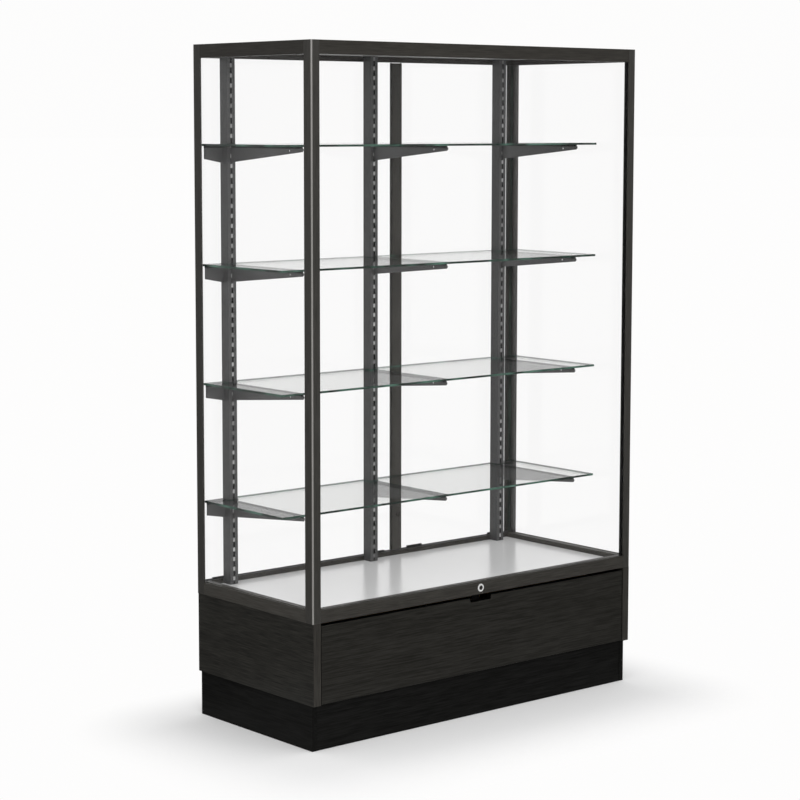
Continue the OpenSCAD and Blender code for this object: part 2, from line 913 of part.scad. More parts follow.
module lock_plug() {
    color(bright_steel) difference() {
        union() {
            along_lock(y_front) cylinder(r = plug_r, h = cam_y0 - y_front);
            along_lock(cam_y0 - 0.5) cylinder(r = 3, h = cam_t + 1.5);
        }
        translate([-0.8, y_front - 1, lock_z - 4.5]) cube([1.6, 7, 9]);
    }
}

module lock_cam() {
    color(bright_steel) difference() {
        union() {
            along_lock(cam_y0) cylinder(r = cam_w / 2, h = cam_t);
            span([0, cam_y0, lock_z - cam_w / 2 + 2], [cam_len, cam_y0 + cam_t, lock_z + cam_w / 2 - 2]);
        }
        along_lock(cam_y0 - 1) cylinder(r = 3.05, h = cam_t + 2);
    }
}

plinth_front();
plinth_back();
plinth_sides();
corner_blocks();
levelling_feet();
base_sides();
base_bottom();
base_back();
deck_cleats();
cleat_screws();
deck();
front_sill();
back_sill();
side_sills();
front_left_post();
front_right_post();
back_left_post();
back_right_post();
top_front_rail();
top_back_rail();
top_side_rails();
top_panel();
front_glass();
side_glass();
glazing_beads();
door_tracks();
left_door_glass();
left_door_stile();
left_door_shoes();
door_lock();
right_door_glass();
right_door_stile();
right_door_shoes();
left_standard();
middle_standard();
right_standard();
standard_plugs();
left_brackets();
middle_brackets();
right_brackets();
shelf_cushions();
shelf_1_left();
shelf_1_right();
shelf_2_left();
shelf_2_right();
shelf_3_left();
shelf_3_right();
shelf_4_left();
shelf_4_right();
drawer_front();
drawer_sides();
drawer_back();
drawer_bottom();
drawer_strike();
cabinet_runners();
middle_runners();
drawer_runners();
lock_barrel();
lock_plug();
lock_cam();
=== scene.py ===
import math
import bpy
from mathutils import Euler, Matrix, Vector


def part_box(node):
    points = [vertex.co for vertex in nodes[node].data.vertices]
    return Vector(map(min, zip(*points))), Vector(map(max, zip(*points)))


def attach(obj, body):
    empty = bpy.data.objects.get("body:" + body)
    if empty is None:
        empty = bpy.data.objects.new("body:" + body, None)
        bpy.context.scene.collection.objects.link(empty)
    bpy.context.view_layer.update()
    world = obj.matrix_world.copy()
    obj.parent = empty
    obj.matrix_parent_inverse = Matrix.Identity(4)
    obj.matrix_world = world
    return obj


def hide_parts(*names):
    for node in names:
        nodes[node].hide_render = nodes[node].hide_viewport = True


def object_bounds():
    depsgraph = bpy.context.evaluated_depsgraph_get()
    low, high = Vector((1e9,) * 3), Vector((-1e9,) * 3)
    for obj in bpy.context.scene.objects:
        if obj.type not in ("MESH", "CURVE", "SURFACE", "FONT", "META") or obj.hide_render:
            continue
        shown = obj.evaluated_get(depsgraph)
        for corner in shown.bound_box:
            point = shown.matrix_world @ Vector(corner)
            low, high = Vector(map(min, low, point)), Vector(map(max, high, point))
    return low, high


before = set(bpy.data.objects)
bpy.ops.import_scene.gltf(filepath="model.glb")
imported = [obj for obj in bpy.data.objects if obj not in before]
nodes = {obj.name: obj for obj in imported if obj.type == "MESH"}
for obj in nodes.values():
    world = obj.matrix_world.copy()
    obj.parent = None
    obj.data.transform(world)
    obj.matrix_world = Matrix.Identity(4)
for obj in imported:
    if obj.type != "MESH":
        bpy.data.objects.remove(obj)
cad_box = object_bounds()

# ---------------------------------------------------------------- viewpoint
# A long lens on a stand, a little above the middle of the case, in front of its left corner.
# The small shift keeps the posts upright in the picture.
camera = bpy.data.objects.new("camera", bpy.data.cameras.new("camera"))
bpy.context.scene.collection.objects.link(camera)
camera.data.sensor_width = 36.0
camera.data.lens = 99.437
camera.data.shift_y = -0.05
camera.data.clip_end = 1000.0
camera.location = (-4.1977, -4.8303, 1.6893)
camera_turn = Euler((math.pi / 2 - 0.10698, 0.0, -0.70625)).to_matrix()
camera.rotation_euler = (camera_turn @ Matrix.Rotation(0.00121, 3, "Z")).to_euler()
bpy.context.scene.camera = camera
bpy.context.scene.view_settings.view_transform = "Standard"


# ---------------------------------------------------------------- studio
# A white floor that runs on past the picture, in a white room whose front and left are unlit, as the
# glass and the gloss see it. Two large soft lamps: one near the lens and one above.
def hex_colour(text):
    """An sRGB hex value such as 3A3937 as a linear colour."""
    channels = [int(text[k:k + 2], 16) / 255 for k in (0, 2, 4)]
    return tuple(c / 12.92 if c <= 0.04045 else ((c + 0.055) / 1.055) ** 2.4 for c in channels) + (1.0,)


def add(tree, kind, values=(), links=(), **settings):
    """Adds one node: settings are its options, values its sockets, links the outputs that feed it."""
    node = tree.nodes.new(kind)
    for name, value in settings.items():
        setattr(node, name, value)
    for name, value in dict(values).items():
        node.inputs[name].default_value = value
    for name, output in dict(links).items():
        tree.links.new(output, node.inputs[name])
    return node


def new_material(name):
    """An empty material with its node tree and the output that the surface goes to."""
    material = bpy.data.materials.new(name)
    material.use_nodes = True
    material.node_tree.nodes.clear()
    return material, material.node_tree, add(material.node_tree, "ShaderNodeOutputMaterial")


floor_white = 0.985
bpy.ops.mesh.primitive_plane_add(size=400.0, location=(0.0, 0.0, -0.0004))
floor = bpy.context.object
floor.name = "floor"
material, tree, out = new_material("white floor paint")
seen = add(tree, "ShaderNodeLightPath")
paint = add(tree, "ShaderNodeBsdfDiffuse", {"Color": hex_colour("F2F2F2")})
glow = add(tree, "ShaderNodeEmission", {"Color": (1.0, 0.997, 0.995, 1.0), "Strength": 0.045})
near = add(tree, "ShaderNodeAddShader", {}, {0: paint.outputs[0], 1: glow.outputs[0]})
far = add(tree, "ShaderNodeEmission", {"Color": (1.0, 0.997, 0.995, 1.0), "Strength": floor_white})
where = add(tree, "ShaderNodeTexCoord")
# The case's shadow reaches further to the front and the left than to the back and the right.
outside = add(tree, "ShaderNodeVectorMath", {1: (-0.08, -0.12, 0.0)}, {0: where.outputs["Object"]},
              operation="SUBTRACT")
outside = add(tree, "ShaderNodeVectorMath", {}, {0: outside.outputs["Vector"]}, operation="ABSOLUTE")
outside = add(tree, "ShaderNodeVectorMath", {1: (cad_box[1][0], cad_box[1][1], 0.0)}, {0: outside.outputs["Vector"]},
              operation="SUBTRACT")
outside = add(tree, "ShaderNodeVectorMath", {1: (0.0, 0.0, 0.0)}, {0: outside.outputs["Vector"]}, operation="MAXIMUM")
away = add(tree, "ShaderNodeVectorMath", {}, {0: outside.outputs["Vector"]}, operation="LENGTH")
fade = add(tree, "ShaderNodeMapRange", {"From Min": 0.0, "From Max": 0.38}, {"Value": away.outputs["Value"]},
           interpolation_type="SMOOTHSTEP")
lit = add(tree, "ShaderNodeMixShader", {}, {"Fac": fade.outputs["Result"], 1: near.outputs[0], 2: far.outputs[0]})
either = add(tree, "ShaderNodeMath", {}, {0: seen.outputs["Is Camera Ray"], 1: seen.outputs["Is Transmission Ray"]},
             operation="MAXIMUM")
shown = add(tree, "ShaderNodeMixShader", {}, {"Fac": either.outputs[0], 1: paint.outputs[0], 2: lit.outputs[0]})
unlit = add(tree, "ShaderNodeBsdfDiffuse", {"Color": (0.1, 0.1, 0.1, 1.0)})
bearing = add(tree, "ShaderNodeVectorMath", {}, {0: where.outputs["Object"]}, operation="NORMALIZE")
behind = add(tree, "ShaderNodeVectorMath", {1: (0.65, 0.76, 0.0)}, {0: bearing.outputs["Vector"]},
             operation="DOT_PRODUCT")
dark = add(tree, "ShaderNodeMapRange", {"From Min": 0.8, "From Max": 0.2}, {"Value": behind.outputs["Value"]})
dark = add(tree, "ShaderNodeMath", {}, {0: dark.outputs["Result"], 1: fade.outputs["Result"]}, operation="MULTIPLY")
mirrored = add(tree, "ShaderNodeMath", {}, {0: seen.outputs["Is Glossy Ray"], 1: seen.outputs["Is Transmission Ray"]},
               operation="SUBTRACT", use_clamp=True)
dark = add(tree, "ShaderNodeMath", {}, {0: dark.outputs[0], 1: mirrored.outputs[0]}, operation="MULTIPLY")
shown = add(tree, "ShaderNodeMixShader", {}, {"Fac": dark.outputs[0], 1: shown.outputs[0], 2: unlit.outputs[0]})
tree.links.new(shown.outputs[0], out.inputs["Surface"])
floor.data.materials.append(material)

world = bpy.data.worlds.new("white room")
bpy.context.scene.world = world
world.use_nodes = True
tree = world.node_tree
tree.nodes.clear()
seen = add(tree, "ShaderNodeLightPath")
either = add(tree, "ShaderNodeMath", {}, {0: seen.outputs["Is Camera Ray"], 1: seen.outputs["Is Transmission Ray"]},
             operation="MAXIMUM")
where = add(tree, "ShaderNodeTexCoord")
ahead = add(tree, "ShaderNodeVectorMath", {1: (0.65, 0.76, 0.0)}, {0: where.outputs["Generated"]},
            operation="DOT_PRODUCT")
backdrop = add(tree, "ShaderNodeMapRange", {"From Min": 0.2, "From Max": 0.8, "To Min": 0.28, "To Max": 0.62},
               {"Value": ahead.outputs["Value"]}, interpolation_type="SMOOTHSTEP")
light = add(tree, "ShaderNodeBackground", {"Color": (1.0, 1.0, 1.0, 1.0), "Strength": 0.66})
glossed = add(tree, "ShaderNodeBackground", {"Color": (1.0, 1.0, 1.0, 1.0)}, {"Strength": backdrop.outputs["Result"]})
wall = add(tree, "ShaderNodeBackground", {"Color": (1.0, 0.997, 0.995, 1.0), "Strength": 0.98})
shown = add(tree, "ShaderNodeMixShader", {},
            {"Fac": seen.outputs["Is Glossy Ray"], 1: light.outputs[0], 2: glossed.outputs[0]})
shown = add(tree, "ShaderNodeMixShader", {}, {"Fac": either.outputs[0], 1: shown.outputs[0], 2: wall.outputs[0]})
tree.links.new(shown.outputs[0], add(tree, "ShaderNodeOutputWorld").inputs["Surface"])

for name, place, size, power in (
    ("lamp beside the lens", (-3.4, -5.4, 3.0), 1.6, 110.0),
    ("lamp overhead", (-0.3, -1.2, 4.6), 3.2, 60.0),
):
    lamp = bpy.data.objects.new(name, bpy.data.lights.new(name, "AREA"))
    bpy.context.scene.collection.objects.link(lamp)
    lamp.data.size = size
    lamp.data.energy = power
    lamp.location = place
    lamp.rotation_euler = (Vector((0.0, 0.0, 1.0)) - Vector(place)).to_track_quat("-Z", "Y").to_euler()


# ---------------------------------------------------------------- frame
# Posts, sills, rails, top and door stiles are boards wrapped in a printed wood-grain laminate, charcoal
# brown, satin, with the grain along each board. Each group of boards has its own copy, a shade lighter or
# darker: painted light and shade. The posts' outer corners are wrapped round and catch a lamp; down the
# front posts' corners the highlight is painted.
def grain(tree, along, light, dark):
    """Printed grain along one axis: streaks 2 to 3 mm wide and 70 mm long, over wider soft bands."""
    where = add(tree, "ShaderNodeTexCoord")
    stretch = [420.0, 420.0, 420.0]
    stretch["XYZ".index(along)] = 14.0
    laid = add(tree, "ShaderNodeMapping", {"Scale": stretch}, {"Vector": where.outputs["Object"]})
    streaks = add(tree, "ShaderNodeTexNoise", {"Scale": 1.0, "Detail": 5.0, "Roughness": 0.62},
                  {"Vector": laid.outputs[0]})
    wide = [34.0, 34.0, 34.0]
    wide["XYZ".index(along)] = 1.4
    laid = add(tree, "ShaderNodeMapping", {"Scale": wide}, {"Vector": where.outputs["Object"]})
    bands = add(tree, "ShaderNodeTexNoise", {"Scale": 1.0, "Detail": 2.0, "Roughness": 0.5},
                {"Vector": laid.outputs[0]})
    both = add(tree, "ShaderNodeMix", {"Factor": 0.14}, {"A": streaks.outputs["Fac"], "B": bands.outputs["Fac"]})
    tone = add(tree, "ShaderNodeValToRGB", {}, {"Fac": both.outputs["Result"]})
    tone.color_ramp.elements[0].position = 0.38
    tone.color_ramp.elements[0].color = hex_colour(dark)
    tone.color_ramp.elements[1].position = 0.62
    tone.color_ramp.elements[1].color = hex_colour(light)
    return tone, both


def painted_corner_highlight(tree, colour, pale, amount, half_width):
    """Paints a highlight: pales a colour where the surface turns round the case's two upright front corners."""
    where = add(tree, "ShaderNodeTexCoord")
    facing = add(tree, "ShaderNodeSeparateXYZ", {}, {"Vector": where.outputs["Normal"]})
    place = add(tree, "ShaderNodeSeparateXYZ", {}, {"Vector": where.outputs["Object"]})
    outwards = add(tree, "ShaderNodeMath", {}, {0: facing.outputs["X"], 1: place.outputs["X"]}, operation="MULTIPLY")
    outwards = add(tree, "ShaderNodeMath", {1: -half_width}, {0: outwards.outputs[0]}, operation="DIVIDE")
    turned = add(tree, "ShaderNodeMath", {}, {0: outwards.outputs[0], 1: facing.outputs["Y"]}, operation="MULTIPLY")
    highlight_mask = add(tree, "ShaderNodeMapRange", {"From Min": 0.0, "From Max": 0.35, "To Max": amount},
                 {"Value": turned.outputs[0]})
    paler = add(tree, "ShaderNodeMix", {}, {"Factor": highlight_mask.outputs["Result"]}, data_type="RGBA")
    tree.links.new(colour, paler.inputs["A"])
    paler.inputs["B"].default_value = hex_colour(pale)
    return paler.outputs["Result"]


def laminate(name, along, light, dark, sheen=0.12, rough=0.42, corner=0.0):
    """Melamine laminate: hard and satin, with a shallow pressed grain; corner is how strong a highlight is painted on
    the upright front corners.
    """
    material, tree, out = new_material(name)
    tone, both = grain(tree, along, light, dark)
    colour = painted_corner_highlight(tree, tone.outputs["Color"], "A8A6A2", corner, cad_box[1][0]) if corner else tone.outputs["Color"]
    pores = add(tree, "ShaderNodeBump", {"Strength": 0.12, "Distance": 0.0002}, {"Height": both.outputs["Result"]})
    board = add(tree, "ShaderNodeBsdfPrincipled", {"Roughness": rough, "Specular IOR Level": sheen},
                {"Base Color": colour, "Normal": pores.outputs["Normal"]})
    tree.links.new(board.outputs[0], out.inputs["Surface"])
    return material


def finish_with(material, *names):
    """Puts one material on CAD nodes, in every slot that they have."""
    for name in names:
        for place in nodes[name].material_slots:
            place.material = material


def break_edges(width, *names):
    """Gives the CAD nodes the small rounded edge that a sanded or folded edge has."""
    for name in names:
        piece = nodes[name]
        weld = piece.modifiers.new("weld", "WELD")
        weld.merge_threshold = 0.00001
        bevel = piece.modifiers.new("edge", "BEVEL")
        bevel.width = width
        bevel.segments = 2
        bevel.limit_method = "ANGLE"
        bevel.angle_limit = math.radians(40)
        bevel.harden_normals = False


# The front posts get a highlight painted down their outer front corners.
finish_with(laminate("charcoal wood-grain laminate, front posts", "Z", "3D3B38", "2E2D29", 0.5, 0.36, 0.62),
            "front_left_post", "front_right_post")
finish_with(laminate("charcoal wood-grain laminate, back posts", "Z", "3A3835", "2B2A26", 0.5, 0.36),
            "back_left_post", "back_right_post")
finish_with(laminate("charcoal wood-grain laminate, stiles", "Z", "4B4945", "3B3936"),
            "left_door_stile", "right_door_stile")
across = laminate("charcoal wood-grain laminate, lengthways", "X", "403E3A", "2F2D2A")
finish_with(across, "front_sill", "back_sill", "top_back_rail")
finish_with(laminate("charcoal wood-grain laminate, top front rail", "X", "3C3A36", "2C2A27"), "top_front_rail")
finish_with(laminate("charcoal wood-grain laminate, side sills", "Y", "464440", "363430"), "side_sills")
finish_with(laminate("charcoal wood-grain laminate, top side rails", "Y", "3B3936", "2C2A27"), "top_side_rails")
break_edges(0.0008, "front_sill", "side_sills", "top_front_rail", "top_back_rail", "top_side_rails")
break_edges(0.0005, "left_door_stile", "right_door_stile")

# The top panel is laminate above and pale grey backing below.
material, tree, out = new_material("top panel, charcoal laminate over pale backing")
tone, both = grain(tree, "X", "403E3A", "2F2D2A")
where = add(tree, "ShaderNodeTexCoord")
facing = add(tree, "ShaderNodeSeparateXYZ", {}, {"Vector": where.outputs["Normal"]})
under = add(tree, "ShaderNodeMath", {1: -0.7}, {0: facing.outputs["Z"]}, operation="LESS_THAN")
faces = add(tree, "ShaderNodeMix", {}, {"Factor": under.outputs[0]}, data_type="RGBA")
tree.links.new(tone.outputs["Color"], faces.inputs["A"])
faces.inputs["B"].default_value = hex_colour("9A9A99")
board = add(tree, "ShaderNodeBsdfPrincipled", {"Roughness": 0.42, "Specular IOR Level": 0.12},
            {"Base Color": faces.outputs["Result"]})
tree.links.new(board.outputs[0], out.inputs["Surface"])
finish_with(material, "top_panel")


# ---------------------------------------------------------------- base and drawer front
# The base cabinet and the drawer front have the same laminate a shade darker, grain level. The side
# panels' front edges have a paler upright edge band with a rounded outer corner, down which a highlight
# is painted.
base_across = laminate("charcoal wood-grain laminate, base, lengthways", "X", "2C2B28", "1B1A18", 0.08)
finish_with(base_across, "base_back", "base_bottom")

# The drawer front's edges and its notch are painted black as shade, so the gaps round the drawer and the notch's
# hollow are dark.
material, tree, out = new_material("charcoal wood-grain laminate, drawer front with black edges")
face, both = grain(tree, "X", "2D2C29", "1B1A17")
where = add(tree, "ShaderNodeTexCoord")
facing = add(tree, "ShaderNodeSeparateXYZ", {}, {"Vector": where.outputs["Normal"]})
flat = add(tree, "ShaderNodeMath", {}, {0: facing.outputs["Y"]}, operation="ABSOLUTE")
edge = add(tree, "ShaderNodeMath", {1: 0.3}, {0: flat.outputs[0]}, operation="LESS_THAN")
tone = add(tree, "ShaderNodeMix", {}, {"Factor": edge.outputs[0]}, data_type="RGBA")
tree.links.new(face.outputs["Color"], tone.inputs["A"])
tone.inputs["B"].default_value = hex_colour("060605")
pores = add(tree, "ShaderNodeBump", {"Strength": 0.12, "Distance": 0.0002}, {"Height": both.outputs["Result"]})
board = add(tree, "ShaderNodeBsdfPrincipled", {"Roughness": 0.42, "Specular IOR Level": 0.08},
            {"Base Color": tone.outputs["Result"], "Normal": pores.outputs["Normal"]})
tree.links.new(board.outputs[0], out.inputs["Surface"])
finish_with(material, "drawer_front")
break_edges(0.0008, "drawer_front")

material, tree, out = new_material("charcoal wood-grain laminate, base side with edge band")
face, both = grain(tree, "Y", "302F2B", "1A1917")
band, unused = grain(tree, "Z", "3C3A36", "2B2926")
where = add(tree, "ShaderNodeTexCoord")
facing = add(tree, "ShaderNodeSeparateXYZ", {}, {"Vector": where.outputs["Normal"]})
front = add(tree, "ShaderNodeMath", {1: -0.7}, {0: facing.outputs["Y"]}, operation="LESS_THAN")
tone = add(tree, "ShaderNodeMix", {}, {"Factor": front.outputs[0]}, data_type="RGBA")
tree.links.new(face.outputs["Color"], tone.inputs["A"])
tree.links.new(band.outputs["Color"], tone.inputs["B"])
# A highlight is painted down the edge band's rounded outer corner.
colour = painted_corner_highlight(tree, tone.outputs["Result"], "827F7A", 0.8, cad_box[1][0])
board = add(tree, "ShaderNodeBsdfPrincipled", {"Roughness": 0.4, "Specular IOR Level": 0.15},
            {"Base Color": colour})
tree.links.new(board.outputs[0], out.inputs["Surface"])
finish_with(material, "base_sides")
break_edges(0.003, "base_sides")


# ---------------------------------------------------------------- plinth
# The recessed plinth is plywood faced with a near-black laminate, duller than the base above it.
plinth_across = laminate("near-black plinth laminate, lengthways", "X", "1A1A19", "090908", 0.04)
plinth_deep = laminate("near-black plinth laminate, front to back", "Y", "191918", "090908", 0.04)
finish_with(plinth_across, "plinth_front", "plinth_back")
finish_with(plinth_deep, "plinth_sides")
break_edges(0.001, "plinth_front", "plinth_sides", "plinth_back")


# ---------------------------------------------------------------- deck
# The deck is a white melamine board, semi-gloss, so the standards show in it as soft streaks.
# The drawer's bottom is the same board.
material, tree, out = new_material("white melamine")
where = add(tree, "ShaderNodeTexCoord")
orange_peel = add(tree, "ShaderNodeTexNoise", {"Scale": 700.0, "Detail": 2.0}, {"Vector": where.outputs["Object"]})
dents = add(tree, "ShaderNodeBump", {"Strength": 0.05, "Distance": 0.0001}, {"Height": orange_peel.outputs["Fac"]})
cloud = add(tree, "ShaderNodeTexNoise", {"Scale": 3.0, "Detail": 2.0}, {"Vector": where.outputs["Object"]})
tone = add(tree, "ShaderNodeMix", {}, {"Factor": cloud.outputs["Fac"]}, data_type="RGBA")
tone.inputs["A"].default_value = hex_colour("EAEAEA")
tone.inputs["B"].default_value = hex_colour("EEEEEE")
board = add(tree, "ShaderNodeBsdfPrincipled", {"Roughness": 0.2, "Specular IOR Level": 0.6},
            {"Base Color": tone.outputs["Result"], "Normal": dents.outputs["Normal"]})
tree.links.new(board.outputs[0], out.inputs["Surface"])
finish_with(material, "deck", "drawer_bottom")
break_edges(0.0006, "deck")


# ---------------------------------------------------------------- glass
# Float glass, 4 to 6 mm: clear through its faces, with cut and ground edges that look dark green,
# because light has come a long way through the sheet. The panes are the low-reflection kind that display
# cases have, and the shelves plain glass. Lamps shine through both.
def float_glass(name, tint, edge_light, edge_dark, thin, ior, polish=0.0):
    """thin is the axis across the sheet; the faces across the other axes are its edges."""
    material, tree, out = new_material(name)
    sheet = add(tree, "ShaderNodeBsdfPrincipled", {"Base Color": hex_colour(tint), "Roughness": 0.0, "IOR": ior,
                                                   "Transmission Weight": 1.0, "Coat Weight": polish,
                                                   "Coat Roughness": 0.0})
    clear = add(tree, "ShaderNodeBsdfTransparent", {"Color": (0.985, 0.985, 0.985, 1.0)})
    seen = add(tree, "ShaderNodeLightPath")
    either = add(tree, "ShaderNodeMath", {}, {0: seen.outputs["Is Shadow Ray"], 1: seen.outputs["Is Diffuse Ray"]},
                 operation="MAXIMUM")
    lit = add(tree, "ShaderNodeMixShader", {}, {"Fac": either.outputs[0], 1: sheet.outputs[0], 2: clear.outputs[0]})
    where = add(tree, "ShaderNodeTexCoord")
    facing = add(tree, "ShaderNodeSeparateXYZ", {}, {"Vector": where.outputs["Normal"]})
    size = add(tree, "ShaderNodeMath", {}, {0: facing.outputs[thin]}, operation="ABSOLUTE")
    cut = add(tree, "ShaderNodeMath", {1: 0.5}, {0: size.outputs[0]}, operation="LESS_THAN")
    wander = add(tree, "ShaderNodeTexNoise", {"Scale": 14.0, "Detail": 3.0}, {"Vector": where.outputs["Object"]})
    tone = add(tree, "ShaderNodeValToRGB", {}, {"Fac": wander.outputs["Fac"]})
    tone.color_ramp.elements[0].position = 0.44
    tone.color_ramp.elements[0].color = hex_colour(edge_dark)
    tone.color_ramp.elements[1].position = 0.64
    tone.color_ramp.elements[1].color = hex_colour(edge_light)
    ground = add(tree, "ShaderNodeBsdfPrincipled", {"Roughness": 0.3, "Specular IOR Level": 0.2},
                 {"Base Color": tone.outputs["Color"]})
    shown = add(tree, "ShaderNodeMixShader", {}, {"Fac": cut.outputs[0], 1: lit.outputs[0], 2: ground.outputs[0]})
    tree.links.new(shown.outputs[0], out.inputs["Surface"])
    return material


shelf_names = [name for name in nodes if name.startswith("shelf_") and name[6].isdigit()]
finish_with(float_glass("float glass shelf", "E0E1E0", "47695B", "13231C", "Z", 1.003, 0.6), *shelf_names)
finish_with(float_glass("float glass pane, front and doors", "FEFEFE", "4A5C52", "2E3B34", "Y", 1.2),
            "front_glass", "left_door_glass", "right_door_glass")
finish_with(float_glass("float glass pane, sides", "FEFEFE", "4A5C52", "2E3B34", "X", 1.2), "side_glass")


# ---------------------------------------------------------------- standards and brackets
# Roll-formed steel standards and stamped steel brackets, powder-coated dark grey. On the standards the front
# faces are painted a shade paler as light; between the slots a lane is pale grey in patches, and round the
# slots and inside the channel it is black as painted shade.
def powder_coat(tree, light, dark):
    """Powder coat: a fine even texture, about 0.5 mm, as a colour and a normal."""
    where = add(tree, "ShaderNodeTexCoord")
    speckle = add(tree, "ShaderNodeTexNoise", {"Scale": 1800.0, "Detail": 2.0}, {"Vector": where.outputs["Object"]})
    tone = add(tree, "ShaderNodeMix", {}, {"Factor": speckle.outputs["Fac"]}, data_type="RGBA")
    tone.inputs["A"].default_value = hex_colour(dark)
    tone.inputs["B"].default_value = hex_colour(light)
    bumps = add(tree, "ShaderNodeBump", {"Strength": 0.1, "Distance": 0.0001}, {"Height": speckle.outputs["Fac"]})
    return tone.outputs["Result"], bumps.outputs["Normal"]


def middle_of(name):
    """The middle of a node's box."""
    corner, opposite = (Vector(c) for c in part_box(name))
    return (corner + opposite) / 2


standard_low, standard_high = (Vector(c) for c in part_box("middle_standard"))
material, tree, out = new_material("dark grey powder-coated steel, slotted")
colour, normal = powder_coat(tree, "464646", "3C3C3C")
where = add(tree, "ShaderNodeTexCoord")
place = add(tree, "ShaderNodeSeparateXYZ", {}, {"Vector": where.outputs["Object"]})
# The front faces are painted a shade paler, as the light that falls on them.
lit_front_face = add(tree, "ShaderNodeMath", {1: standard_low.y + 0.0004}, {0: place.outputs["Y"]}, operation="LESS_THAN")
lit_coat = add(tree, "ShaderNodeMix", {}, {"Factor": lit_front_face.outputs[0]}, data_type="RGBA")
tree.links.new(colour, lit_coat.inputs["A"])
lit_coat.inputs["B"].default_value = hex_colour("4C4C4C")
colour = lit_coat.outputs["Result"]
# All three standards share the material: the distance from the nearest one's middle, 0 or the end ones'.
side = add(tree, "ShaderNodeMath", {}, {0: place.outputs["X"]}, operation="ABSOLUTE")
end = add(tree, "ShaderNodeMath", {1: middle_of("right_standard").x}, {0: side.outputs[0]}, operation="SUBTRACT")
end = add(tree, "ShaderNodeMath", {}, {0: end.outputs[0]}, operation="ABSOLUTE")
off = add(tree, "ShaderNodeMath", {}, {0: side.outputs[0], 1: end.outputs[0]}, operation="MINIMUM")
slot_lane = add(tree, "ShaderNodeMapRange", {"From Min": 0.0036, "From Max": 0.0030}, {"Value": off.outputs[0]})
on_front = add(tree, "ShaderNodeMath", {1: standard_low.y + 0.0004}, {0: place.outputs["Y"]}, operation="LESS_THAN")
lane = add(tree, "ShaderNodeMath", {}, {0: slot_lane.outputs["Result"], 1: on_front.outputs[0]},
           operation="MULTIPLY")
# Up the lane: how far a point is from the middle of the nearest slot, in turns of the slots' spacing.
slot_pitch = 0.028
first_slot = 0.031
turn = add(tree, "ShaderNodeMath", {1: standard_low.z + first_slot}, {0: place.outputs["Z"]}, operation="SUBTRACT")
turn = add(tree, "ShaderNodeMath", {1: slot_pitch}, {0: turn.outputs[0]}, operation="DIVIDE")
turn = add(tree, "ShaderNodeMath", {1: 0.5}, {0: turn.outputs[0]}, operation="ADD")
turn = add(tree, "ShaderNodeMath", {}, {0: turn.outputs[0]}, operation="FRACT")
turn = add(tree, "ShaderNodeMath", {1: 0.5}, {0: turn.outputs[0]}, operation="SUBTRACT")
turn = add(tree, "ShaderNodeMath", {}, {0: turn.outputs[0]}, operation="ABSOLUTE")
bridge = add(tree, "ShaderNodeMath", {1: 0.3}, {0: turn.outputs[0]}, operation="GREATER_THAN")
# Round the slots the lane is near black: painted shade.
lane_tone = add(tree, "ShaderNodeMix", {}, {"Factor": bridge.outputs[0]}, data_type="RGBA")
lane_tone.inputs["A"].default_value = hex_colour("101010")
# The bridges are paler at some heights than at others, in patches about 0.1 m high.
patches = add(tree, "ShaderNodeTexNoise", {"Scale": 11.0, "Detail": 1.0}, {"Vector": where.outputs["Object"]})
pale_bridge_tone = add(tree, "ShaderNodeValToRGB", {}, {"Fac": patches.outputs["Fac"]})
pale_bridge_tone.color_ramp.elements[0].position = 0.35
pale_bridge_tone.color_ramp.elements[0].color = hex_colour("6A6A6A")
pale_bridge_tone.color_ramp.elements[1].position = 0.65
pale_bridge_tone.color_ramp.elements[1].color = hex_colour("ACACAC")
tree.links.new(pale_bridge_tone.outputs["Color"], lane_tone.inputs["B"])
bright = add(tree, "ShaderNodeMix", {}, {"Factor": lane.outputs[0]}, data_type="RGBA")
tree.links.new(colour, bright.inputs["A"])
tree.links.new(lane_tone.outputs["Result"], bright.inputs["B"])
# Inside the channel, behind the front face and ahead of the back, the steel is near black: painted shade.
wall = 0.0021
within = add(tree, "ShaderNodeMath", {1: (standard_high.x - standard_low.x) / 2 - wall}, {0: off.outputs[0]},
             operation="LESS_THAN")
behind_face = add(tree, "ShaderNodeMath", {1: standard_low.y + 0.0004}, {0: place.outputs["Y"]},
                  operation="GREATER_THAN")
ahead_back = add(tree, "ShaderNodeMath", {1: standard_high.y - 0.0004}, {0: place.outputs["Y"]},
                 operation="LESS_THAN")
inside = add(tree, "ShaderNodeMath", {}, {0: within.outputs[0], 1: behind_face.outputs[0]}, operation="MULTIPLY")
inside = add(tree, "ShaderNodeMath", {}, {0: inside.outputs[0], 1: ahead_back.outputs[0]}, operation="MULTIPLY")
shade = add(tree, "ShaderNodeMix", {}, {"Factor": inside.outputs[0]}, data_type="RGBA")
tree.links.new(bright.outputs["Result"], shade.inputs["A"])
shade.inputs["B"].default_value = hex_colour("0C0C0C")
coat = add(tree, "ShaderNodeBsdfPrincipled", {"Roughness": 0.38, "Specular IOR Level": 0.25},
           {"Base Color": shade.outputs["Result"], "Normal": normal})
tree.links.new(coat.outputs[0], out.inputs["Surface"])
finish_with(material, "left_standard", "middle_standard", "right_standard")
break_edges(0.0008, "left_standard", "middle_standard", "right_standard")

material, tree, out = new_material("dark grey powder-coated steel, plate")
colour, normal = powder_coat(tree, "4F4F4F", "454545")
coat = add(tree, "ShaderNodeBsdfPrincipled", {"Roughness": 0.34, "Specular IOR Level": 0.3},
           {"Base Color": colour, "Normal": normal})
tree.links.new(coat.outputs[0], out.inputs["Surface"])
finish_with(material, "left_brackets", "middle_brackets", "right_brackets")
break_edges(0.0006, "left_brackets", "middle_brackets", "right_brackets")


